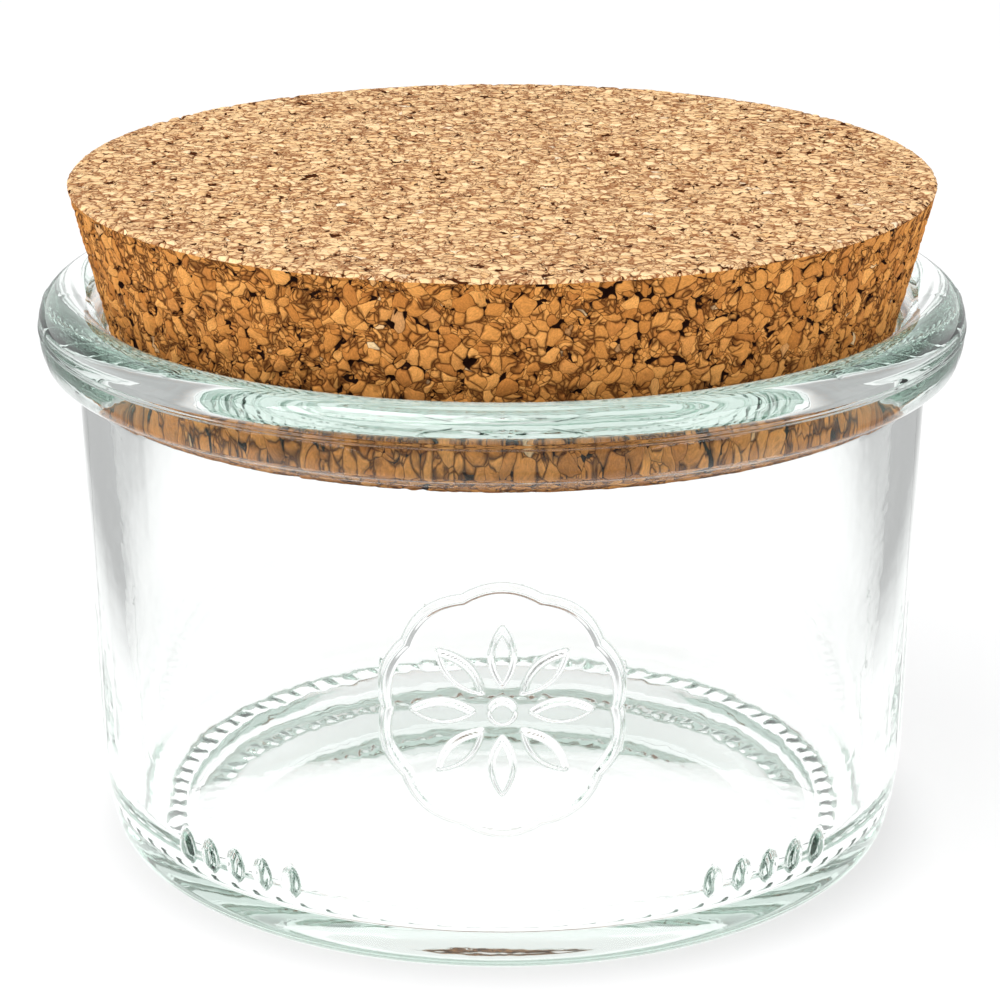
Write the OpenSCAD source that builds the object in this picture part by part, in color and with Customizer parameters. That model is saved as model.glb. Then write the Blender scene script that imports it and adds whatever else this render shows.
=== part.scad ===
// Low preserving jar of pressed glass, closed by a tapered lid of agglomerated cork.
// The origin is at the middle of the face that the jar stands on, with +Z up.

/* [Glass wall] */
// Height of the jar, from the surface it stands on to the crest of its rim
jar_h = 56.1; // [50:0.1:90]
// Outer diameter of the wall, measured right under the rim
wall_d = 82.8; // [81.6:0.1:84]
// Lean of the outer wall from upright, in degrees
wall_draft = 1.5; // [1:0.1:2]
// Lean of the inner wall from upright, in degrees
bore_draft = 1.1; // [0.5:0.1:2]
// Thickness of the floor, measured from the ring that the jar stands on
floor_t = 3.4; // [2.8:0.1:6]
// Radius between the floor and the inner wall
floor_r = 5; // [3:0.1:8]

/* [Rim] */
// Outer diameter of the rim's flange
rim_d = 90; // [88:0.1:92]
// Height of the flange, from its underside to its crest
rim_t = 7.3; // [6.9:0.1:9]
// Radius of the flange's upper, outer edge
crest_r = 2.8; // [2:0.1:3]
// Radius of the flange's lower, outer edge
under_r = 3.7; // [3:0.1:4]
// Radius of the hollow between the flange's underside and the wall
neck_r = 2; // [1:0.1:2.5]
// Narrowest diameter of the mouth, at the lip that the lid seats on
mouth_d = 76.3; // [75.4:0.1:77]
// Radius of the lip
lip_r = 2; // [1:0.1:2.4]
// Fall of the mouth's slope from the crest in to the lip, in degrees
rim_fall = 62; // [50:1:66]
// Radius of the ridge that the mould's parting line leaves round the flange
seam_r = 0.22; // [0.1:0.01:0.3]
// Share of the parting ridge's radius that stands out from the flange
seam_proud = 0.5; // [0.3:0.1:0.9]

/* [Foot] */
// Height at which the outer wall starts to curve in
heel_h = 10.7; // [8:0.1:14]
// Radius of the long curve above the foot
heel_sweep_r = 36; // [30:0.5:38]
// Radius of the short curve at the foot
heel_r = 3.4; // [2.5:0.1:4.5]
// Width of the flat ring that the jar stands on
foot_w = 3.3; // [2.8:0.1:5]
// Number of knurls on the ring
knurl_n = 80; // [40:1:100]
// Depth of the gaps between the knurls
knurl_depth = 0.35; // [0.2:0.05:0.6]
// Length of a knurl, along the radius
knurl_l = 2.1; // [1.5:0.1:2.4]
// Width of the gap between two knurls
knurl_gap = 1.3; // [0.8:0.1:1.5]
// Rise of the underside next to the ring
punt_edge_h = 0.8; // [0.5:0.1:1.2]
// Rise of the underside at its middle
punt_h = 1.2; // [1:0.1:2]
// Width of the slope between the ring and the raised underside
punt_slope_w = 1.6; // [1:0.1:3]

/* [Cork lid] */
// Diameter of the cork at its top
cork_top_d = 83.8; // [82:0.1:86]
// Diameter of the cork at its bottom
cork_bottom_d = 73.7; // [72:0.1:75]
// Thickness of the cork
cork_h = 20.2; // [15:0.1:30]
// Width of the broken edge round the cork's two faces
cork_edge = 0.35; // [0.2:0.05:0.8]
// Clearance between the cork's side and the lip, square to the side
seat_gap = 0.12; // [0.05:0.01:0.3]

/* [Hidden] */
$fn = 180;
// Largest turn between two points of an arc in a section, in degrees
arc_step = 5;
// How far a cut runs past the face it opens
over = 1;

rim_r = rim_d / 2;
neck_z = jar_h - rim_t;

// Unit vectors along the outer wall, and square to each leaning wall on its open side
wall_up = [sin(wall_draft), cos(wall_draft)];
wall_out = [cos(wall_draft), -sin(wall_draft)];
bore_in = [-cos(bore_draft), sin(bore_draft)];

// Radius of the outer wall at a height
function wall_at(z) = wall_d / 2 - (neck_z - z) * tan(wall_draft);

// Direction from one point to another, in degrees
function heading(p, q) = atan2(q[1] - p[1], q[0] - p[0]);

// Points of an arc round c with radius r, from one direction to another
function arc(c, r, from, to) =
    let (n = ceil(abs(to - from) / arc_step))
    [for (i = [0 : n]) let (a = from + (to - from) * i / n) c + r * [cos(a), sin(a)]];

// Foot: a long curve leaves the wall, and a short one ends on the ring
heel_start = [wall_at(heel_h), heel_h];
sweep_c = heel_start - heel_sweep_r * wall_out;
heel_reach = heel_sweep_r - heel_r;
heel_c = [sweep_c[0] + sqrt(pow(heel_reach, 2) - pow(sweep_c[1] - heel_r, 2)), heel_r];
heel_turn = heading(sweep_c, heel_c);
ring_out_r = heel_c[0];
ring_in_r = ring_out_r - foot_w;
knurl_in_r = (ring_out_r + ring_in_r - knurl_l) / 2;

// Rim: the crest and the lip are joined by a slope that touches both
crest_c = [rim_r - crest_r, jar_h - crest_r];
under_c = [rim_r - under_r, neck_z + under_r];
slope_out = [-sin(rim_fall), cos(rim_fall)];
slope_top = crest_c + crest_r * slope_out;
lip_x = mouth_d / 2 + lip_r;
slope_run = slope_top[0] - lip_r * slope_out[0] - lip_x;
lip_c = [lip_x, slope_top[1] - slope_run * tan(rim_fall) - lip_r * slope_out[1]];
seam_c = [rim_r - seam_r * (1 - seam_proud), (crest_c[1] + under_c[1]) / 2];
seam_turn = acos(1 - seam_proud);

// Neck: the hollow touches both the wall and the flange's lower edge
neck_start = [wall_at(neck_z), neck_z] + neck_r * wall_out - under_c;
neck_along = neck_start * wall_up;
neck_reach = under_r + neck_r;
neck_move = -neck_along - sqrt(pow(neck_along, 2) - neck_start * neck_start + pow(neck_reach, 2));
neck_c = under_c + neck_start + neck_move * wall_up;

// Bore: the inner wall starts on the lip and ends in the curve above the floor
bore_top = lip_c + lip_r * bore_in;
bore_foot_z = floor_t + floor_r * (1 - bore_in[1]);
bore_foot = [bore_top[0] - (bore_top[1] - bore_foot_z) * tan(bore_draft), bore_foot_z];
floor_c = bore_foot + floor_r * bore_in;

// Lid: the cork drops into the mouth until its side clears the lip by the gap.
// One that is too wide for the mouth rests by its bottom edge on the slope or the crest.
cork_lean = atan((cork_top_d - cork_bottom_d) / 2 / cork_h);
cork_out = [cos(cork_lean), -sin(cork_lean)];
seat = lip_c - (lip_r + seat_gap) * cork_out;
side_z = seat[1] - (seat[0] - cork_bottom_d / 2) / tan(cork_lean);
slope_rise = (cork_bottom_d / 2 - slope_top[0]) * tan(rim_fall);
slope_z = slope_top[1] + slope_rise + seat_gap / cos(rim_fall);
cork_z = min(side_z, slope_z, jar_h + seat_gap);

// Underside of the jar, from its raised middle out to the ring
punt_line = [
    [0, punt_h],
    [ring_in_r - punt_slope_w, punt_edge_h],
    [ring_in_r, 0]
];

// Outside of the jar, from the ring up to the neck
wall_line = concat(
    arc(heel_c, heel_r, -90, heel_turn),
    arc(sweep_c, heel_sweep_r, heel_turn, -wall_draft),
    arc(neck_c, neck_r, 180 - wall_draft, heading(neck_c, under_c))
);

// Rim, from the underside of the flange over the crest to the lip
rim_line = concat(
    arc(under_c, under_r, heading(under_c, neck_c), 0),
    arc(seam_c, seam_r, -seam_turn, seam_turn),
    arc(crest_c, crest_r, 0, 90 + rim_fall),
    arc(lip_c, lip_r, 90 + rim_fall, 180 - bore_draft)
);

// Inside of the jar, from the lip down to the middle of the floor
bore_line = concat(
    arc(floor_c, floor_r, -bore_draft, -90),
    [[0, floor_t]]
);

// Gaps between the knurls, pressed into the ring
module knurl_gaps() {
    translate([0, 0, -over])
        linear_extrude(knurl_depth + over)
            intersection() {
                difference() {
                    circle(knurl_in_r + knurl_l);
                    circle(knurl_in_r);
                }
                for (i = [0 : knurl_n - 1])
                    rotate(i * 360 / knurl_n)
                        translate([knurl_in_r - over, -knurl_gap / 2])
                            square([knurl_l + 2 * over, knurl_gap]);
            }
}

// Jar: floor, wall and rolled rim in one piece of glass, on a knurled ring
module glass_jar() {
    color([0.72, 0.86, 0.79, 0.45])
        difference() {
            rotate_extrude()
                polygon(concat(punt_line, wall_line, rim_line, bore_line));
            knurl_gaps();
        }
}

// Lid: a tapered disc of cork with broken edges
module cork_lid() {
    color([0.80, 0.60, 0.38])
        translate([0, 0, cork_z])
            rotate_extrude()
                polygon([
                    [0, 0],
                    [cork_bottom_d / 2 - cork_edge, 0],
                    [cork_bottom_d / 2 + cork_edge * tan(cork_lean), cork_edge],
                    [cork_top_d / 2 - cork_edge * tan(cork_lean), cork_h - cork_edge],
                    [cork_top_d / 2 - cork_edge, cork_h],
                    [0, cork_h]
                ]);
}

glass_jar();
cork_lid();
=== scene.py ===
import math

import bmesh
import bpy
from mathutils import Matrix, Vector


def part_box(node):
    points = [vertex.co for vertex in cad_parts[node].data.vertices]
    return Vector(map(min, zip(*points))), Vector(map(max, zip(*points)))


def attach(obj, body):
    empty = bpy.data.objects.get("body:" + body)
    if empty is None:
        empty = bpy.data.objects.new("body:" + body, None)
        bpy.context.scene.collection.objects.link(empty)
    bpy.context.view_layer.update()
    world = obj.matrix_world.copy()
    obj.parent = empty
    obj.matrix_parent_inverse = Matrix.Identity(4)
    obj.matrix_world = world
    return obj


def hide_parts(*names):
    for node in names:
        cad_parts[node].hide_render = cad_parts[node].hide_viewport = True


bl_info = {
    "name": "Glass Jar with Cork Lid",
    "version": (1, 0, 0),
    "blender": (4, 5, 0),
    "location": "3D View > Sidebar > Jar",
    "description": "Builds a low preserving jar of pressed glass with its cork lid",
    "category": "Object",
}

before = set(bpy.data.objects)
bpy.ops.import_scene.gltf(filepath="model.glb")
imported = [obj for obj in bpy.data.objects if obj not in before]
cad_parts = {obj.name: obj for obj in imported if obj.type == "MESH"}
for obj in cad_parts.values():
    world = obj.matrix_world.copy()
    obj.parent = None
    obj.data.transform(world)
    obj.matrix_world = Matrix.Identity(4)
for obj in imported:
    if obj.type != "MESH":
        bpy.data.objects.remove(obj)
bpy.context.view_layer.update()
JAR_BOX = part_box("glass_jar")
CORK_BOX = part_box("cork_lid")

MM = 0.001
FULL_TURN = 2 * math.pi
UP = Vector((0, 0, 1))


# Sizes and colours that a user may change

class JarSizes(bpy.types.PropertyGroup):
    height: bpy.props.FloatProperty(
        name="Height", description="From the foot to the crest of the rim",
        default=JAR_BOX[1].z, unit="LENGTH", subtype="DISTANCE")
    wall_radius: bpy.props.FloatProperty(
        name="Wall Radius", description="Outer radius of the wall, right under the rim",
        default=41.4 * MM, unit="LENGTH", subtype="DISTANCE")
    wall_draft: bpy.props.FloatProperty(
        name="Wall Draft", description="Lean of the outer wall from upright",
        default=math.radians(1.5), unit="ROTATION", subtype="ANGLE")
    bore_draft: bpy.props.FloatProperty(
        name="Bore Draft", description="Lean of the inner wall from upright",
        default=math.radians(1.1), unit="ROTATION", subtype="ANGLE")
    floor: bpy.props.FloatProperty(
        name="Floor", description="Height of the inner floor over the foot",
        default=3.4 * MM, unit="LENGTH", subtype="DISTANCE")
    floor_curve: bpy.props.FloatProperty(
        name="Floor Curve", description="Radius between the floor and the inner wall",
        default=5 * MM, unit="LENGTH", subtype="DISTANCE")
    rim_radius: bpy.props.FloatProperty(
        name="Rim Radius", description="Outer radius of the rim",
        default=45 * MM, unit="LENGTH", subtype="DISTANCE")
    rim_height: bpy.props.FloatProperty(
        name="Rim Height", description="Height of the rim, from its underside to its crest",
        default=7.3 * MM, unit="LENGTH", subtype="DISTANCE")
    lip_radius: bpy.props.FloatProperty(
        name="Lip Radius", description="Radius of the mouth, at the lip",
        default=38.15 * MM, unit="LENGTH", subtype="DISTANCE")
    knurls: bpy.props.IntProperty(
        name="Knurls", description="Number of knurls on the foot ring", default=80, min=3)
    knurl_depth: bpy.props.FloatProperty(
        name="Knurl Depth", description="Depth of the gaps between the knurls",
        default=0.35 * MM, unit="LENGTH", subtype="DISTANCE")
    relief_height: bpy.props.FloatProperty(
        name="Relief Height", description="Height of the moulded ornament over the wall",
        default=0.72 * MM, unit="LENGTH", subtype="DISTANCE")


class CorkSizes(bpy.types.PropertyGroup):
    top_radius: bpy.props.FloatProperty(
        name="Top Radius", description="Radius of the cork at its top",
        default=CORK_BOX[1].x, unit="LENGTH", subtype="DISTANCE")
    bottom_radius: bpy.props.FloatProperty(
        name="Bottom Radius", description="Radius of the cork at its bottom",
        default=36.85 * MM, unit="LENGTH", subtype="DISTANCE")
    grain: bpy.props.FloatProperty(
        name="Grain", description="Width of a large cork granule",
        default=1.3 * MM, unit="LENGTH", subtype="DISTANCE")
    top_grain: bpy.props.FloatProperty(
        name="Top Grain", description="Width of a large granule on the sanded top",
        default=0.95 * MM, unit="LENGTH", subtype="DISTANCE")


class JarColours(bpy.types.PropertyGroup):
    glass_tint: bpy.props.FloatVectorProperty(
        name="Glass Tint", description="Colour that thick glass takes",
        subtype="COLOR", size=3, default=(0.20, 0.50, 0.36), min=0, max=1)
    cork_side: bpy.props.FloatVectorProperty(
        name="Cork Side", description="Main colour of the granules on the side",
        subtype="COLOR", size=3, default=(0.58, 0.245, 0.058), min=0, max=1)
    cork_top: bpy.props.FloatVectorProperty(
        name="Cork Top", description="Main colour of the sanded top",
        subtype="COLOR", size=3, default=(0.88, 0.58, 0.305), min=0, max=1)
    backdrop: bpy.props.FloatVectorProperty(
        name="Backdrop", description="Colour of the floor and backdrop",
        subtype="COLOR", size=3, default=(1.0, 1.0, 1.0), min=0, max=1)


# Sections

def first_vert(items):
    """The first vertex among the items that an operator returns."""
    return next(item for item in items if isinstance(item, bmesh.types.BMVert))


def line_to(bm, vert, x, z, steps=1):
    """Carry a section on from vert with a straight line to (x, z)."""
    start, end = vert.co.copy(), Vector((x, 0, z))
    for step in range(steps):
        vert = bmesh.ops.extrude_vert_indiv(bm, verts=[vert])["verts"][0]
        vert.co = start.lerp(end, (step + 1) / steps)
    return vert


def arc_on(bm, vert, centre, turn, steps):
    """Carry a section on from vert with an arc round centre; a positive turn runs from X to Z."""
    spun = bmesh.ops.spin(
        bm, geom=[vert], cent=(centre[0], 0, centre[1]), axis=(0, -1, 0),
        angle=turn, steps=steps, use_merge=False, use_duplicate=False)
    return first_vert(spun["geom_last"])


def heading(start, end):
    """Direction from one point of a section to another."""
    return math.atan2(end[1] - start[1], end[0] - start[0])


def turn_section(bm, steps):
    """Spin the section in bm once round Z, and close its seam and poles."""
    bmesh.ops.spin(
        bm, geom=bm.verts[:] + bm.edges[:], cent=(0, 0, 0), axis=UP,
        angle=FULL_TURN, steps=steps, use_merge=True, use_duplicate=False)
    bmesh.ops.remove_doubles(bm, verts=bm.verts, dist=0.001 * MM)
    bmesh.ops.recalc_face_normals(bm, faces=bm.faces)


def finish_piece(bm, name, materials):
    """Turn bm into a smooth object of that name at the origin."""
    mesh = bpy.data.meshes.new(name)
    for face in bm.faces:
        face.smooth = True
    bm.to_mesh(mesh)
    bm.free()
    for material in materials:
        mesh.materials.append(material)
    piece = bpy.data.objects.new(name, mesh)
    bpy.context.scene.collection.objects.link(piece)
    return piece


# The jar's outer shape, for what is laid on it afterwards

class JarShape:
    """Centres and points of the jar's section, from its sizes."""

    CREST = 2.8 * MM
    FACE = 6.5 * MM
    FACE_TURN = math.radians(24)
    UNDER = 1.2 * MM
    NECK = 2 * MM
    LIP = 2 * MM
    RIM_FALL = math.radians(62)
    SEAM = 0.3 * MM
    SEAM_SINK = 0.205 * MM
    SEAM_RISE = 3.7 * MM
    HEEL_HEIGHT = 10.7 * MM
    SWEEP = 36 * MM
    HEEL = 3.4 * MM
    FOOT = 3.3 * MM
    PUNT_EDGE = 0.8 * MM
    PUNT = 1.2 * MM
    PUNT_SLOPE = 1.6 * MM

    def __init__(self, size):
        self.size = size
        draft, bore = size.wall_draft, size.bore_draft
        self.neck_z = size.height - size.rim_height
        wall_up = Vector((math.sin(draft), math.cos(draft)))
        wall_out = Vector((math.cos(draft), -math.sin(draft)))
        bore_in = Vector((-math.cos(bore), math.sin(bore)))
        heel_start = Vector((self.wall_at(self.HEEL_HEIGHT), self.HEEL_HEIGHT))
        self.sweep_c = heel_start - self.SWEEP * wall_out
        reach = self.SWEEP - self.HEEL
        self.heel_c = Vector((
            self.sweep_c.x + math.sqrt(reach ** 2 - (self.sweep_c.y - self.HEEL) ** 2), self.HEEL))
        self.heel_turn = heading(self.sweep_c, self.heel_c)
        self.ring_out = self.heel_c.x
        self.ring_in = self.ring_out - self.FOOT
        self.crest_c = Vector((size.rim_radius - self.CREST, size.height - self.CREST))
        slope_out = Vector((-math.sin(self.RIM_FALL), math.cos(self.RIM_FALL)))
        slope_top = self.crest_c + self.CREST * slope_out
        lip_x = size.lip_radius + self.LIP
        run = slope_top.x - self.LIP * slope_out.x - lip_x
        self.lip_c = Vector((lip_x, slope_top.y - run * math.tan(self.RIM_FALL) - self.LIP * slope_out.y))
        seam_z = (self.crest_c.y + self.neck_z + self.SEAM_RISE) / 2
        self.seam_c = Vector((size.rim_radius - self.SEAM_SINK, seam_z))
        self.face_c = Vector((size.rim_radius - self.FACE, seam_z - self.SEAM))
        down = Vector((math.cos(self.FACE_TURN), -math.sin(self.FACE_TURN)))
        self.under_c = self.face_c + (self.FACE - self.UNDER) * down
        self.seam_turn = math.acos(self.SEAM_SINK / self.SEAM)
        start = Vector((self.wall_at(self.neck_z), self.neck_z)) + self.NECK * wall_out - self.under_c
        along = start.dot(wall_up)
        move = -along - math.sqrt(along ** 2 - start.dot(start) + (self.UNDER + self.NECK) ** 2)
        self.neck_c = self.under_c + start + move * wall_up
        bore_top = self.lip_c + self.LIP * bore_in
        foot_z = size.floor + size.floor_curve * (1 - bore_in.y)
        bore_foot = Vector((bore_top.x - (bore_top.y - foot_z) * math.tan(bore), foot_z))
        self.floor_c = bore_foot + size.floor_curve * bore_in

    def wall_at(self, z):
        """Radius of the outer wall's cone at height z."""
        return self.size.wall_radius - (self.neck_z - z) * math.tan(self.size.wall_draft)

    def outside_at(self, z):
        """Radius of the outside at height z, from the foot up to the neck."""
        if z >= self.HEEL_HEIGHT:
            return self.wall_at(z)
        sweep_foot = self.sweep_c.y + self.SWEEP * math.sin(self.heel_turn)
        centre, radius = (self.sweep_c, self.SWEEP) if z > sweep_foot else (self.heel_c, self.HEEL)
        return centre.x + math.sqrt(max(radius ** 2 - (z - centre.y) ** 2, 0))


def smooth_step(low, high, value):
    """0 below low, 1 above high, and a smooth curve between."""
    t = min(max((value - low) / (high - low), 0), 1)
    return t * t * (3 - 2 * t)


def ridge(offset, half_width):
    """Height of a rounded ridge at an offset from its middle line, from 0 to 1."""
    if abs(offset) >= half_width:
        return 0
    return math.cos(math.pi / 2 * offset / half_width) ** 2


class Relief:
    """The moulded ornament: a lobed ring round a rosette, and a row of beads low on each side."""

    CENTRE_Z = 27.1 * MM
    HALF_WIDTH = 10.6 * MM
    HALF_HEIGHT = 11.5 * MM
    LOBES = 10
    LOBE_RISE = 0.5 * MM
    RING_HALF = 0.55 * MM
    PETALS = 8
    PETAL_FROM = 2.4 * MM
    PETAL_TO = 8.2 * MM
    PETAL_HALF = 1.15 * MM
    BOSS = 1.3 * MM
    EDGE = 0.35 * MM
    BEAD_Z = 8 * MM
    BEAD_HALF_W = 1.1 * MM
    BEAD_HALF_H = 2.0 * MM
    BEAD_ANGLES = (29, 33.6, 38.2, 42.8, 47.4)
    BAND = 13 * MM

    def medallion(self, across, up):
        """Share of the relief's height at a point of the wall, measured from the ring's middle."""
        angle = math.atan2(up, across)
        distance = math.hypot(across, up)
        oval = 1 / math.hypot(math.cos(angle) / self.HALF_WIDTH, math.sin(angle) / self.HALF_HEIGHT)
        border = oval + self.LOBE_RISE * (abs(math.cos(self.LOBES / 2 * (angle - math.pi / 2))) - 0.5)
        height = ridge(distance - border, self.RING_HALF)
        turn = FULL_TURN / self.PETALS
        nearest = round((angle - math.pi / 2) / turn) * turn + math.pi / 2
        along = distance * math.cos(angle - nearest)
        aside = abs(distance * math.sin(angle - nearest))
        share = (along - self.PETAL_FROM) / (self.PETAL_TO - self.PETAL_FROM)
        if 0 < share < 1:
            half = self.PETAL_HALF * math.sin(math.pi * share) ** 0.8
            height = max(height, smooth_step(0, self.EDGE, half - aside))
        return max(height, smooth_step(0, self.EDGE, self.BOSS - distance))

    def bead(self, across, up):
        """Share of the relief's height at a point near one bead, measured from its middle."""
        inside = 1 - (across / self.BEAD_HALF_W) ** 2 - (up / self.BEAD_HALF_H) ** 2
        return smooth_step(0, 1, inside)

    def height(self, angle, radius, z):
        """Share of the relief's height on the outside; angle is from the front, in radians."""
        share = 0
        if abs(angle * radius) < self.BAND and abs(z - self.CENTRE_Z) < self.BAND:
            share = self.medallion(angle * radius, z - self.CENTRE_Z)
        if abs(z - self.BEAD_Z) < self.BEAD_HALF_H:
            for place in self.BEAD_ANGLES:
                offset = (abs(angle) - math.radians(place)) * radius
                if abs(offset) < self.BEAD_HALF_W:
                    share = max(share, self.bead(offset, z - self.BEAD_Z))
        return share


# Materials

# Share of the large cork flakes that are broken into chips, chips across a flake, and how slender they are
BROKEN_SHARE = 0.5
CHIPS_ACROSS = 2.4
CHIP_STRETCH = 0.6

# Linear colours and strengths of the cork's rough side and of its sanded top
SIDE_LOOK = {
    "spread": 0.55, "warm": (0.40, 0.14, 0.032), "rust": 0.55, "pale": (0.74, 0.54, 0.30), "streak": 0.28,
    "joint": (0.03, 0.22), "ink": 0.95, "crevice": (0.050, 0.010, 0.001), "void": (0.012, 0.003, 0.001),
    "level": 0.3, "bump": 0.5, "fine": 1.0,
}
TOP_LOOK = {
    "spread": 0.24, "warm": (0.66, 0.34, 0.12), "rust": 0.4, "pale": (0.92, 0.76, 0.54), "streak": 0.22,
    "joint": (0.03, 0.26), "ink": 0.95, "crevice": (0.22, 0.055, 0.008), "void": (0.06, 0.014, 0.002),
    "level": 0.35, "bump": 0.75, "fine": 1.9,
}


# The floor's own glow: how bright glass sees it behind the jar, off to the sides and in front, and where these begin;
# the dimming in front is a dark flag and also a painted shadow in front of the jar's foot
GLASS_GLOW = 1.2
SIDE_FLAG_GLOW = 0.5
SIDE_FLAG_AT = (56 * MM, 98 * MM)
FRONT_FLAG_SHADOW_GLOW = 0.15
FRONT_FLAG_SHADOW_AT = (40 * MM, 85 * MM)
# Painted shadow on the floor right round the jar's foot, as the camera sees it: its darkest level and where it fades
# out
PAINTED_SHADOW_GLOW = 0.72
PAINTED_SHADOW_AT = (35 * MM, 46 * MM)
GLASS_SHARE = 0.95
CAMERA_SHARE = 0.78


def new_material(name):
    """An empty node material with its output node."""
    material = bpy.data.materials.new(name)
    material.use_nodes = True
    material.node_tree.nodes.clear()
    return material, material.node_tree, material.node_tree.nodes.new("ShaderNodeOutputMaterial")


class Graph:
    """Adds nodes to one tree and links them as they are made."""

    def __init__(self, tree):
        self.tree = tree

    def node(self, kind, settings=None, **inputs):
        """Add a node, set its properties, and link or set its inputs by name."""
        node = self.tree.nodes.new(kind)
        for name, value in (settings or {}).items():
            setattr(node, name, value)
        for name, value in inputs.items():
            self.put(node.inputs[name.replace("_", " ")], value)
        return node

    def put(self, socket, value):
        """Link a socket to another, or give it a plain value."""
        if isinstance(value, bpy.types.NodeSocket):
            self.tree.links.new(value, socket)
        else:
            socket.default_value = value

    def math(self, operation, first, second=None, third=None, clamp=False):
        """A Math node of that operation."""
        node = self.node("ShaderNodeMath", {"operation": operation, "use_clamp": clamp})
        for socket, value in zip(node.inputs, (first, second, third)):
            if value is not None:
                self.put(socket, value)
        return node.outputs[0]

    def step(self, value, low, high, to_low=0.0, to_high=1.0):
        """A smooth step of value from low to high."""
        node = self.node("ShaderNodeMapRange", {"interpolation_type": "SMOOTHSTEP", "clamp": True})
        for name, number in (("From Min", low), ("From Max", high), ("To Min", to_low), ("To Max", to_high)):
            node.inputs[name].default_value = number
        self.put(node.inputs["Value"], value)
        return node.outputs["Result"]

    def shift(self, first, second, operation="ADD"):
        """A Vector Math node of that operation."""
        node = self.node("ShaderNodeVectorMath", {"operation": operation})
        self.put(node.inputs[0], first)
        self.put(node.inputs[1], second)
        return node.outputs[0]

    def scaled(self, vector, factor):
        """A vector times a number."""
        node = self.node("ShaderNodeVectorMath", {"operation": "SCALE"})
        self.put(node.inputs[0], vector)
        self.put(node.inputs["Scale"], factor)
        return node.outputs[0]

    def blend(self, factor, first, second, mode="MIX"):
        """A colour mix."""
        node = self.node("ShaderNodeMix", {"data_type": "RGBA", "blend_type": mode, "clamp_factor": True})
        self.put(node.inputs[0], factor)
        self.put(node.inputs[6], first)
        self.put(node.inputs[7], second)
        return node.outputs[2]

    def ramp(self, factor, stops):
        """A colour ramp through (place, colour) stops."""
        node = self.node("ShaderNodeValToRGB", Fac=factor)
        ramp = node.color_ramp
        while len(ramp.elements) < len(stops):
            ramp.elements.new(1.0)
        for element, (place, colour) in zip(ramp.elements, stops):
            element.position = place
            element.color = (*colour, 1.0)
        return node.outputs["Color"]

    def noise(self, vector, scale, detail=2.0, roughness=0.5):
        """Value of a noise texture, about 0.5 in the mean."""
        node = self.node(
            "ShaderNodeTexNoise", Vector=vector, Scale=scale, Detail=detail, Roughness=roughness)
        return node.outputs[0]

    def noise_vector(self, vector, scale, detail=2.0):
        """Colour of a noise texture, for pushing a pattern out of line."""
        node = self.node("ShaderNodeTexNoise", Vector=vector, Scale=scale, Detail=detail)
        return node.outputs[1]

    def pick(self, factor, first, second):
        """A mix of two numbers."""
        node = self.node("ShaderNodeMix", {"data_type": "FLOAT"})
        for place, value in ((0, factor), (2, first), (3, second)):
            self.put(node.inputs[place], value)
        return node.outputs[0]

    def cells(self, vector, scale, feature="F1", randomness=1.0):
        """A 3D Voronoi texture."""
        return self.node(
            "ShaderNodeTexVoronoi", {"feature": feature, "voronoi_dimensions": "3D"},
            Vector=vector, Scale=scale, Randomness=randomness)


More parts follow.
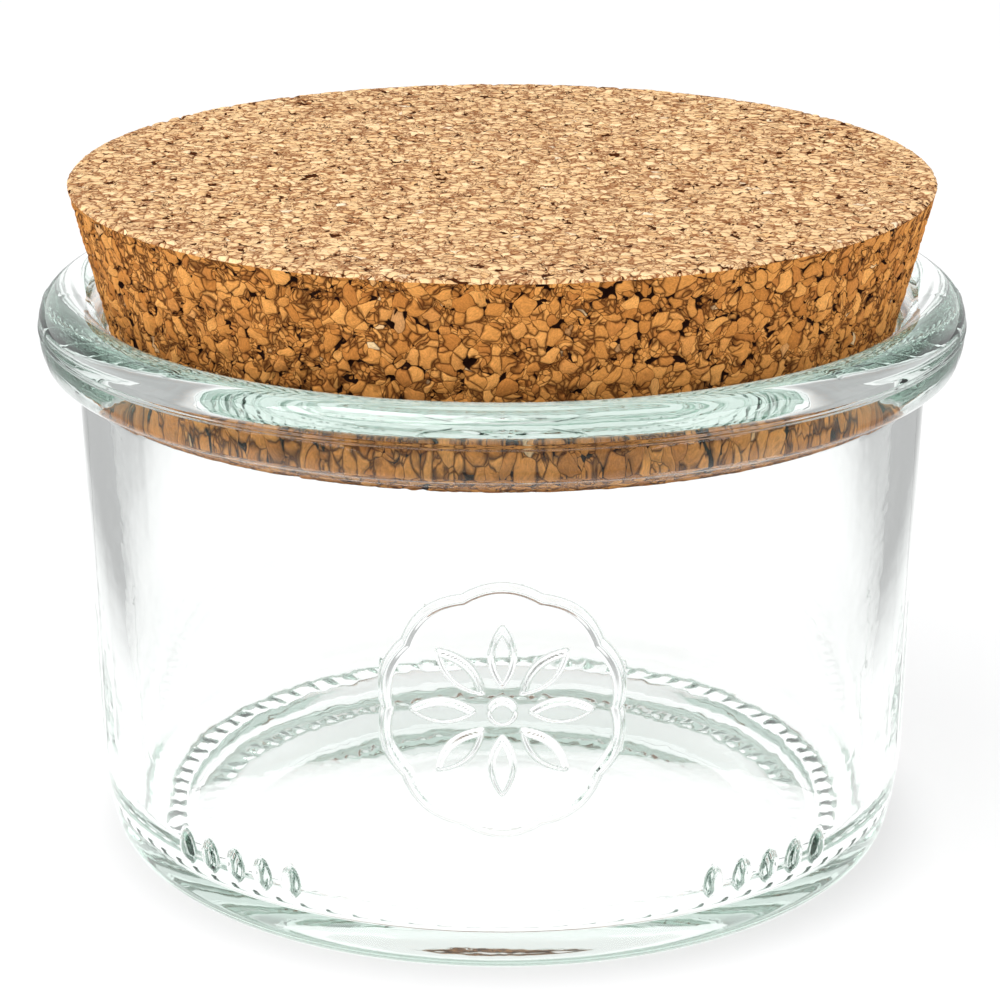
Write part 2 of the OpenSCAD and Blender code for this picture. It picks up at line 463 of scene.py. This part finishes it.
def granules(graph, position, grain, fine=1.0):
    """Pack of cork flakes and slender chips in 3D, as sockets for their colours, joints, voids and lean.
    The joints between chips are drawn thinner as fine goes up."""
    mm = 1 / MM
    push = graph.shift(graph.noise_vector(position, 0.55 / grain, 1.0), (0.5, 0.5, 0.5), "SUBTRACT")
    bent = graph.shift(position, graph.scaled(push, 1.5 * grain))
    flake = graph.cells(bent, 1 / grain)
    flake_edge = graph.cells(bent, 1 / grain, "DISTANCE_TO_EDGE")
    tell = graph.node("ShaderNodeSeparateXYZ", Vector=flake.outputs["Color"])
    lean = graph.shift(flake.outputs["Color"], (0.5, 0.5, 0.5), "SUBTRACT")
    axis = graph.shift(lean, (0, 0, 0), "NORMALIZE")
    along = graph.node("ShaderNodeVectorMath", {"operation": "DOT_PRODUCT"})
    graph.put(along.inputs[0], bent)
    graph.put(along.inputs[1], axis)
    shrunk = graph.scaled(axis, graph.math("MULTIPLY", along.outputs["Value"], -CHIP_STRETCH))
    drawn = graph.shift(bent, shrunk)
    chip = graph.cells(drawn, CHIPS_ACROSS / grain)
    chip_edge = graph.cells(drawn, CHIPS_ACROSS / grain, "DISTANCE_TO_EDGE")
    chip_tell = graph.node("ShaderNodeSeparateXYZ", Vector=chip.outputs["Color"])
    broken = graph.math("GREATER_THAN", tell.outputs[0], 1 - BROKEN_SHARE)
    whole = graph.math("SUBTRACT", 1.0, broken)
    edge = graph.math("MULTIPLY", flake_edge.outputs["Distance"], grain * mm)
    inner = graph.math("MULTIPLY", chip_edge.outputs["Distance"], fine * grain * mm / CHIPS_ACROSS)
    edge = graph.math("MINIMUM", edge, graph.math("ADD", inner, graph.math("MULTIPLY", whole, 9.0)))
    corner = graph.step(flake.outputs["Distance"], 0.73, 0.79)
    corner = graph.math("MULTIPLY", corner, graph.step(graph.noise(position, 0.9 / grain, 1.0), 0.44, 0.5))
    gap = graph.math("MULTIPLY", graph.step(chip.outputs["Distance"], 0.78, 0.84), broken)
    out = graph.shift(bent, flake.outputs["Position"], "SUBTRACT")
    tilt = graph.node("ShaderNodeVectorMath", {"operation": "DOT_PRODUCT"})
    graph.put(tilt.inputs[0], out)
    graph.put(tilt.inputs[1], lean)
    chip_out = graph.shift(drawn, chip.outputs["Position"], "SUBTRACT")
    chip_tilt = graph.node("ShaderNodeVectorMath", {"operation": "DOT_PRODUCT"})
    graph.put(chip_tilt.inputs[0], chip_out)
    graph.put(chip_tilt.inputs[1], graph.shift(chip.outputs["Color"], (0.5, 0.5, 0.5), "SUBTRACT"))
    slope = graph.pick(broken, tilt.outputs["Value"], graph.math("MULTIPLY", chip_tilt.outputs["Value"], 2.0))
    return {
        "chance": graph.pick(broken, tell.outputs[1], chip_tell.outputs[1]),
        "hue": graph.pick(broken, tell.outputs[2], chip_tell.outputs[2]),
        "edge": edge,
        "void": graph.math("MAXIMUM", corner, gap),
        "slope": graph.math("MULTIPLY", slope, mm),
        "drawn": drawn,
    }


def cork_drop(graph, pack, level, crevice, void):
    """Depth in millimetres of the granules' faces under the cut surface."""
    joint = graph.math("SUBTRACT", 1.0, graph.step(pack["edge"], 0.0, 0.28))
    drop = graph.math("MULTIPLY_ADD", pack["slope"], -level, 0.1 * level)
    drop = graph.math("MULTIPLY_ADD", joint, crevice, drop)
    return graph.math("MAXIMUM", graph.math("MULTIPLY_ADD", pack["void"], void, drop), 0.0)


def glass_material(tint):
    """Clear pressed glass that turns green where it is thick, and lets the lamps through to the cork and the floor."""
    material, tree, output = new_material("pressed_glass")
    graph = Graph(tree)
    place = graph.node("ShaderNodeTexCoord")
    wave = graph.node("ShaderNodeBump", Strength=1.0, Distance=0.00002)
    graph.put(wave.inputs["Height"], graph.noise(place.outputs["Object"], 260.0, 2.0))
    glass = graph.node("ShaderNodeBsdfPrincipled")
    glass.inputs["Base Color"].default_value = (1, 1, 1, 1)
    glass.inputs["Roughness"].default_value = 0.0
    glass.inputs["IOR"].default_value = 1.52
    glass.inputs["Transmission Weight"].default_value = 1.0
    graph.put(glass.inputs["Normal"], wave.outputs[0])
    clear = graph.node("ShaderNodeBsdfTransparent")
    path = graph.node("ShaderNodeLightPath")
    through = graph.node("ShaderNodeMixShader")
    graph.put(through.inputs[0], path.outputs["Is Shadow Ray"])
    graph.put(through.inputs[1], glass.outputs[0])
    graph.put(through.inputs[2], clear.outputs[0])
    thick = graph.node("ShaderNodeVolumeAbsorption")
    thick.inputs["Color"].default_value = (*tint, 1)
    thick.inputs["Density"].default_value = 9.0
    graph.put(output.inputs["Surface"], through.outputs[0])
    graph.put(output.inputs["Volume"], thick.outputs[0])
    return material


def cork_material(name, grain, look):
    """Agglomerated cork: granules of many browns, dark crevices and small voids."""
    material, tree, output = new_material(name)
    graph = Graph(tree)
    position = graph.node("ShaderNodeTexCoord").outputs["Object"]
    pack = granules(graph, position, grain, look["fine"])
    base, spread = look["base"], look["spread"]
    tones = [(0.0, -1.0), (0.3, -0.25), (0.7, 0.2), (1.0, 1.0)]
    body = graph.ramp(pack["chance"], [(place, shaded(base, spread * tone)) for place, tone in tones])
    body = graph.blend(graph.step(pack["hue"], 0.62, 0.95, 0.0, look["rust"]), body, (*shaded(look["warm"], 0), 1))
    body = graph.blend(graph.step(pack["hue"], 0.0, 0.012, 0.9, 0.0), body, (*look["pale"], 1))
    streak = graph.noise(pack["drawn"], 9.0 / grain, 4.0, 0.65)
    deep = look["streak"]
    body = graph.blend(1.0, body, graph.ramp(streak, [(0.3, (1 - deep,) * 3), (0.7, (1 + deep,) * 3)]), "MULTIPLY")
    shade = graph.noise(position, 1.0 / grain, 2.0)
    width = graph.step(shade, 0.35, 0.7, *look["joint"])
    joint = graph.math("SUBTRACT", 1.0, graph.math("DIVIDE", pack["edge"], width), clamp=True)
    body = graph.blend(graph.math("MULTIPLY", joint, look["ink"]), body, (*look["crevice"], 1))
    body = graph.blend(pack["void"], body, (*look["void"], 1))
    cork = graph.node("ShaderNodeBsdfPrincipled")
    graph.put(cork.inputs["Base Color"], body)
    cork.inputs["Roughness"].default_value = 0.9
    cork.inputs["Specular IOR Level"].default_value = 0.08
    drop = cork_drop(graph, pack, look["level"], 0.22, 0.4)
    fine = graph.noise(pack["drawn"], 14.0 / grain, 3.0)
    rise = graph.math("SUBTRACT", graph.math("MULTIPLY", fine, 0.12), drop)
    bump = graph.node("ShaderNodeBump", Strength=look["bump"], Distance=MM)
    graph.put(bump.inputs["Height"], rise)
    graph.put(cork.inputs["Normal"], bump.outputs[0])
    graph.put(output.inputs["Surface"], cork.outputs[0])
    return material


def shaded(colour, amount):
    """A cork colour made lighter and paler above 0, or darker and redder below."""
    gains = (0.40, 0.62, 1.0) if amount > 0 else (0.45, 0.60, 0.75)
    return tuple(min(c * (1 + amount * gain), 1) for c, gain in zip(colour, gains))


def roughen(piece, grain_side, grain_top, top_z):
    """Press the joints and voids of the granules into the cork's mesh, and apply it."""
    tree = bpy.data.node_groups.new("cork_relief", "GeometryNodeTree")
    tree.interface.new_socket("Geometry", in_out="INPUT", socket_type="NodeSocketGeometry")
    tree.interface.new_socket("Geometry", in_out="OUTPUT", socket_type="NodeSocketGeometry")
    graph = Graph(tree)
    shape = tree.nodes.new("NodeGroupInput").outputs[0]
    position = tree.nodes.new("GeometryNodeInputPosition").outputs[0]
    normal = tree.nodes.new("GeometryNodeInputNormal").outputs[0]
    side = cork_drop(graph, granules(graph, position, grain_side), 0.2, 0.16, 0.4)
    top = cork_drop(graph, granules(graph, position, grain_top), 0.08, 0.06, 0.18)
    facing = graph.node("ShaderNodeSeparateXYZ", Vector=normal).outputs["Z"]
    height = graph.node("ShaderNodeSeparateXYZ", Vector=position).outputs["Z"]
    side = graph.math("MULTIPLY", side, graph.step(height, top_z - 1.2 * MM, top_z - 0.3 * MM, 1.0, 0.3))
    drop = graph.pick(graph.step(facing, 0.2, 0.6), side, top)
    moved = graph.node("GeometryNodeSetPosition")
    graph.put(moved.inputs["Geometry"], shape)
    graph.put(moved.inputs["Offset"], graph.scaled(normal, graph.math("MULTIPLY", drop, -MM)))
    graph.put(tree.nodes.new("NodeGroupOutput").inputs[0], moved.outputs[0])
    piece.modifiers.new("cork_relief", "NODES").node_group = tree
    apply_modifiers(piece)


def apply_modifiers(piece):
    """Bake a piece's modifiers into its mesh."""
    graph = bpy.context.evaluated_depsgraph_get()
    mesh = bpy.data.meshes.new_from_object(piece.evaluated_get(graph), depsgraph=graph)
    piece.modifiers.clear()
    piece.data = mesh
    mesh.name = piece.name


def seen_ray(graph):
    """1 for rays that show the backdrop: from the camera, or through and off glass."""
    path = graph.node("ShaderNodeLightPath")
    seen = graph.math("MAXIMUM", path.outputs["Is Camera Ray"], path.outputs["Is Glossy Ray"])
    return graph.math("MAXIMUM", seen, path.outputs["Is Transmission Ray"])


def floor_material(colour):
    """Pale floor that shows as the white backdrop, with a painted shadow right round the foot, and a part of the real
    shadows on it.
    Glass sees it brighter behind the jar, and darker off to the sides and in front, which draws the jar's edges; the
    darkening in front is also a painted shadow in front of the foot."""
    material, tree, output = new_material("backdrop_floor")
    graph = Graph(tree)
    position = graph.node("ShaderNodeTexCoord").outputs["Object"]
    place = graph.node("ShaderNodeSeparateXYZ", Vector=position).outputs
    side = graph.step(graph.math("ABSOLUTE", place["X"]), *SIDE_FLAG_AT, GLASS_GLOW, SIDE_FLAG_GLOW)
    # darker in front as glass sees it: a dark flag, and partly a painted shadow in front of the foot
    front = graph.step(graph.math("MULTIPLY", place["Y"], -1.0), *FRONT_FLAG_SHADOW_AT, 1.0, FRONT_FLAG_SHADOW_GLOW)
    away = graph.node("ShaderNodeVectorMath", {"operation": "LENGTH"}, Vector=position).outputs["Value"]
    # painted shadow round the foot, seen by camera rays only
    painted_shadow = graph.step(away, *PAINTED_SHADOW_AT, PAINTED_SHADOW_GLOW, 1.0)
    camera = graph.node("ShaderNodeLightPath").outputs["Is Camera Ray"]
    strength = graph.pick(camera, graph.math("MULTIPLY", side, front), painted_shadow)
    plain = graph.node("ShaderNodeEmission", Color=(*colour, 1), Strength=strength)
    matt = graph.node("ShaderNodeBsdfDiffuse", Color=(*colour, 1))
    shown = graph.node("ShaderNodeMixShader")
    share = graph.pick(camera, GLASS_SHARE, CAMERA_SHARE)
    graph.put(shown.inputs[0], graph.math("MULTIPLY", seen_ray(graph), share))
    graph.put(shown.inputs[1], matt.outputs[0])
    graph.put(shown.inputs[2], plain.outputs[0])
    graph.put(output.inputs["Surface"], shown.outputs[0])
    return material


# Operators

class JAR_OT_stage(bpy.types.Operator):
    """Add the floor, the lamps, the backdrop and the camera"""

    bl_idname = "jar.stage"
    bl_label = "Stage"

    CAMERA_PLACE = Vector((-0.2, -322.6, 141.1)) * MM
    CAMERA_PITCH = math.radians(18.48)
    LENS = 122.83
    FLOOR_SIZE = 6.0
    FLOOR_DROP = 0.1 * MM
    BOUNCES = 32

    def execute(self, context):
        colours = context.scene.jar_colours
        bm = bmesh.new()
        bmesh.ops.create_grid(bm, x_segments=1, y_segments=1, size=self.FLOOR_SIZE / 2)
        bmesh.ops.translate(bm, verts=bm.verts, vec=-UP * self.FLOOR_DROP)
        floor = finish_piece(bm, "floor", [floor_material(colours.backdrop)])
        self.add_world(context.scene, colours.backdrop)
        self.add_lamp("key_panel", (-0.35, -0.35, 1.0), 0.7, 9.0)
        self.add_lamp("right_panel", (1.0, -0.6, 0.5), 0.8, 6.0)
        self.add_lamp("left_panel", (-1.0, -0.6, 0.5), 0.8, 5.0)
        self.add_camera(context.scene)
        context.scene.view_settings.view_transform = "Standard"
        context.scene.cycles.max_bounces = self.BOUNCES
        context.scene.cycles.transmission_bounces = self.BOUNCES
        context.scene.cycles.glossy_bounces = self.BOUNCES
        return {"FINISHED"}

    def add_world(self, scene, colour):
        """White for rays that show the backdrop, and a plain level of light for the rest."""
        scene.world = bpy.data.worlds.new("studio")
        scene.world.use_nodes = True
        tree = scene.world.node_tree
        tree.nodes.clear()
        graph = Graph(tree)
        direction = graph.node("ShaderNodeTexCoord").outputs["Generated"]
        toward = graph.node("ShaderNodeSeparateXYZ", Vector=direction).outputs
        behind = graph.step(toward["Y"], -0.3, 0.3, 0.15, 1.2)
        aside = graph.step(graph.math("ABSOLUTE", toward["X"]), 0.3, 0.75, 0.88, 0.3)
        low = graph.pick(graph.step(toward["Z"], 0.22, 0.45), 1.0, aside)
        over = graph.step(toward["Z"], 0.6, 0.8, 0.0, 1.0)
        level = graph.math("MAXIMUM", graph.math("MULTIPLY", behind, low), over)
        sky = graph.node("ShaderNodeCombineColor", Red=level, Green=level, Blue=level).outputs[0]
        path = graph.node("ShaderNodeLightPath")
        shown = graph.blend(path.outputs["Is Camera Ray"], sky, (*colour, 1))
        lit = graph.node("ShaderNodeBackground", Color=(0.95, 0.98, 1.0, 1), Strength=0.62)
        seen = graph.node("ShaderNodeBackground", Strength=1.0)
        graph.put(seen.inputs["Color"], shown)
        both = graph.node("ShaderNodeMixShader")
        graph.put(both.inputs[0], seen_ray(graph))
        graph.put(both.inputs[1], lit.outputs[0])
        graph.put(both.inputs[2], seen.outputs[0])
        graph.put(graph.node("ShaderNodeOutputWorld").inputs["Surface"], both.outputs[0])

    def add_lamp(self, name, place, size, power):
        """A square softbox that faces the jar."""
        lamp = bpy.data.lights.new(name, "AREA")
        lamp.size = size
        lamp.energy = power
        panel = bpy.data.objects.new(name, lamp)
        panel.location = place
        panel.rotation_euler = (-Vector(place)).to_track_quat("-Z", "Y").to_euler()
        bpy.context.scene.collection.objects.link(panel)

    def add_camera(self, scene):
        """The camera that took the photograph."""
        camera = bpy.data.objects.new("camera", bpy.data.cameras.new("camera"))
        camera.data.lens = self.LENS
        camera.data.clip_start = 0.01
        camera.location = self.CAMERA_PLACE
        camera.rotation_euler = (math.pi / 2 - self.CAMERA_PITCH, 0, 0)
        scene.collection.objects.link(camera)
        scene.camera = camera


class JAR_OT_glass(bpy.types.Operator):
    """Make the jar of pressed glass, with its rolled rim, its knurled foot and its moulded ornament"""

    bl_idname = "jar.glass"
    bl_label = "Glass Jar"

    STEPS = 480
    KNURL_FROM = 33.2 * MM
    KNURL_TO = 35.3 * MM
    KNURL_END = 0.35 * MM
    SEAM_FROM = 3 * MM
    SEAM_RISE = 0.09 * MM

    def execute(self, context):
        size = context.scene.jar_sizes
        shape = JarShape(size)
        bm = bmesh.new()
        self.draw_section(bm, shape)
        turn_section(bm, self.STEPS)
        self.press_knurls(bm, shape)
        self.press_relief(bm, shape)
        self.raise_seams(bm, shape)
        colours = context.scene.jar_colours
        jar = finish_piece(bm, "jar_glass", [glass_material(colours.glass_tint)])
        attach(jar, "jar")
        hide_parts("glass_jar")
        return {"FINISHED"}

    def draw_section(self, bm, shape):
        """The jar's section, from the middle of its underside round to the middle of its floor."""
        size = shape.size
        draft = size.wall_draft
        vert = bm.verts.new((0, 0, shape.PUNT))
        vert = line_to(bm, vert, shape.ring_in - shape.PUNT_SLOPE, shape.PUNT_EDGE)
        vert = line_to(bm, vert, shape.ring_in, 0)
        for radius in (self.KNURL_FROM, (self.KNURL_FROM + self.KNURL_TO) / 2, self.KNURL_TO):
            vert = line_to(bm, vert, radius, 0)
        vert = line_to(bm, vert, shape.ring_out, 0)
        vert = arc_on(bm, vert, shape.heel_c, math.pi / 2 + shape.heel_turn, 10)
        vert = arc_on(bm, vert, shape.sweep_c, -draft - shape.heel_turn, 14)
        neck_turn = heading(shape.neck_c, shape.under_c) - (math.pi - draft)
        neck_start = shape.neck_c + shape.NECK * Vector((-math.cos(draft), math.sin(draft)))
        vert = line_to(bm, vert, *neck_start)
        vert = arc_on(bm, vert, shape.neck_c, neck_turn, 8)
        under_turn = -shape.FACE_TURN - heading(shape.under_c, shape.neck_c)
        vert = arc_on(bm, vert, shape.under_c, under_turn, 10)
        vert = arc_on(bm, vert, shape.face_c, shape.FACE_TURN, 8)
        seam_low = shape.seam_c + shape.SEAM * Vector((math.cos(shape.seam_turn), -math.sin(shape.seam_turn)))
        vert = line_to(bm, vert, *seam_low)
        vert = arc_on(bm, vert, shape.seam_c, 2 * shape.seam_turn, 6)
        vert = line_to(bm, vert, size.rim_radius, shape.crest_c.y)
        vert = arc_on(bm, vert, shape.crest_c, math.pi / 2 + shape.RIM_FALL, 16)
        lip_turn = math.pi / 2 + shape.RIM_FALL
        lip_start = shape.lip_c + shape.LIP * Vector((math.cos(lip_turn), math.sin(lip_turn)))
        vert = line_to(bm, vert, *lip_start)
        vert = arc_on(bm, vert, shape.lip_c, math.pi - size.bore_draft - lip_turn, 8)
        floor_start = shape.floor_c + size.floor_curve * Vector((math.cos(-size.bore_draft), math.sin(-size.bore_draft)))
        vert = line_to(bm, vert, *floor_start)
        vert = arc_on(bm, vert, shape.floor_c, size.bore_draft - math.pi / 2, 10)
        line_to(bm, vert, 0, size.floor)

    def press_knurls(self, bm, shape):
        """Refine the foot ring and press the gaps between the knurls into it."""
        def on_ring(vert):
            return abs(vert.co.z) < 0.001 * MM and shape.ring_in - 0.01 * MM < vert.co.xy.length < shape.ring_out + 0.01 * MM

        ring = [f for f in bm.faces if all(on_ring(v) for v in f.verts)]
        edges = list({e for f in ring for e in f.edges})
        bmesh.ops.subdivide_edges(bm, edges=edges, cuts=2, use_grid_fill=True)
        size = shape.size
        for vert in bm.verts:
            if not on_ring(vert):
                continue
            radius = vert.co.xy.length
            angle = math.atan2(vert.co.y, vert.co.x)
            end = smooth_step(self.KNURL_FROM - self.KNURL_END, self.KNURL_FROM + self.KNURL_END, radius)
            end *= 1 - smooth_step(self.KNURL_TO - self.KNURL_END, self.KNURL_TO + self.KNURL_END, radius)
            wave = 0.5 + 0.5 * math.cos(size.knurls * angle)
            vert.co.z += size.knurl_depth * wave * end

    def press_relief(self, bm, shape):
        """Refine the wall where the ornament stands, and raise it."""
        relief = Relief()
        size = shape.size
        reach = relief.BAND / shape.wall_at(relief.CENTRE_Z)

        def front_angle(co):
            return math.atan2(co.x, -co.y)

        def in_front(face):
            centre = face.calc_center_median()
            outside = centre.xy.length > shape.outside_at(centre.z) - 0.3 * MM
            return outside and abs(front_angle(centre)) < reach and shape.HEEL_HEIGHT < centre.z < shape.neck_z

        wall = [f for f in bm.faces if in_front(f)]
        upright = {e for f in wall for e in f.edges if abs(e.verts[0].co.z - e.verts[1].co.z) > 5 * MM}
        bmesh.ops.subdivide_edges(bm, edges=list(upright), cuts=66, use_grid_fill=True)

        def near_relief(face):
            centre = face.calc_center_median()
            if centre.z > shape.neck_z or centre.xy.length < shape.outside_at(centre.z) - 0.3 * MM:
                return False
            angle = front_angle(centre)
            radius = shape.outside_at(centre.z)
            up = (centre.z - relief.CENTRE_Z) / (relief.HALF_HEIGHT + 0.9 * MM)
            across = angle * radius / (relief.HALF_WIDTH + 0.9 * MM)
            if math.hypot(up, across) < 1:
                return True
            first, last = relief.BEAD_ANGLES[0], relief.BEAD_ANGLES[-1]
            margin = math.radians(2.6)
            low = abs(centre.z - relief.BEAD_Z) < relief.BEAD_HALF_H + 0.3 * MM
            return low and math.radians(first) - margin < abs(angle) < math.radians(last) + margin

        fine = list({e for f in bm.faces if near_relief(f) for e in f.edges})
        bmesh.ops.subdivide_edges(bm, edges=fine, cuts=3, use_grid_fill=True)
        for vert in bm.verts:
            z = vert.co.z
            if z < 2 * MM or z > shape.neck_z - 0.5 * MM or vert.co.xy.length < shape.outside_at(z) - 0.3 * MM:
                continue
            angle = front_angle(vert.co)
            if abs(angle) > math.radians(53):
                continue
            radius = shape.outside_at(z)
            radius += size.relief_height * relief.height(angle, radius, z)
            vert.co.x = radius * math.sin(angle)
            vert.co.y = -radius * math.cos(angle)


    def raise_seams(self, bm, shape):
        """Raise the two upright seams that the halves of the mould leave."""
        for vert in bm.verts:
            z = vert.co.z
            if abs(vert.co.y) > 0.01 * MM or z < self.SEAM_FROM or z > shape.size.height - 1 * MM:
                continue
            if abs(vert.co.x) > shape.outside_at(z) - 0.3 * MM:
                reach = min(abs(vert.co.x) + self.SEAM_RISE, shape.seam_c.x + shape.SEAM)
                vert.co.x = math.copysign(reach, vert.co.x)


class JAR_OT_cork(bpy.types.Operator):
    """Make the tapered lid of agglomerated cork"""

    bl_idname = "jar.cork"
    bl_label = "Cork Lid"

    STEPS = 640
    EDGE = 0.35 * MM
    SIDE_ROWS = 50
    TOP_RINGS = 72
    BOTTOM_RINGS = 16

    def execute(self, context):
        size = context.scene.cork_sizes
        colours = context.scene.jar_colours
        low, high = CORK_BOX
        bm = bmesh.new()
        vert = bm.verts.new((0, 0, low.z))
        vert = line_to(bm, vert, size.bottom_radius - self.EDGE, low.z, self.BOTTOM_RINGS)
        vert = line_to(bm, vert, size.bottom_radius + 0.1 * self.EDGE, low.z + self.EDGE)
        vert = line_to(bm, vert, size.top_radius - 0.1 * self.EDGE, high.z - self.EDGE, self.SIDE_ROWS)
        vert = line_to(bm, vert, size.top_radius - self.EDGE, high.z)
        line_to(bm, vert, 0, high.z, self.TOP_RINGS)
        turn_section(bm, self.STEPS)
        for face in bm.faces:
            face.material_index = 1 if face.normal.z > 0.3 else 0
        bm.normal_update()
        for edge in bm.edges:
            edge.smooth = edge.calc_face_angle(0) < math.radians(30)
        side = cork_material("cork_side", size.grain, SIDE_LOOK | {"base": colours.cork_side[:]})
        top = cork_material("cork_top", size.top_grain, TOP_LOOK | {"base": colours.cork_top[:]})
        lid = finish_piece(bm, "lid_cork", [side, top])
        roughen(lid, size.grain, size.top_grain, high.z)
        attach(lid, "lid")
        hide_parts("cork_lid")
        return {"FINISHED"}


class JAR_PT_sidebar(bpy.types.Panel):
    """The operators that build the jar, in order"""

    bl_label = "Jar"
    bl_space_type = "VIEW_3D"
    bl_region_type = "UI"
    bl_category = "Jar"

    def draw(self, context):
        for group in (context.scene.jar_sizes, context.scene.cork_sizes, context.scene.jar_colours):
            for name in group.__annotations__:
                self.layout.prop(group, name)
        for operator in OPERATORS:
            self.layout.operator(operator.bl_idname)


OPERATORS = (JAR_OT_stage, JAR_OT_glass, JAR_OT_cork)
GROUPS = {"jar_sizes": JarSizes, "cork_sizes": CorkSizes, "jar_colours": JarColours}


def register():
    for name, group in GROUPS.items():
        bpy.utils.register_class(group)
        setattr(bpy.types.Scene, name, bpy.props.PointerProperty(type=group))
    for operator in OPERATORS:
        bpy.utils.register_class(operator)
    bpy.utils.register_class(JAR_PT_sidebar)


def unregister():
    bpy.utils.unregister_class(JAR_PT_sidebar)
    for operator in reversed(OPERATORS):
        bpy.utils.unregister_class(operator)
    for name, group in GROUPS.items():
        delattr(bpy.types.Scene, name)
        bpy.utils.unregister_class(group)


def main():
    """Register the add-on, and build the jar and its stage."""
    register()
    bpy.ops.jar.stage()
    bpy.ops.jar.glass()
    bpy.ops.jar.cork()


if __name__ == "__main__":
    main()
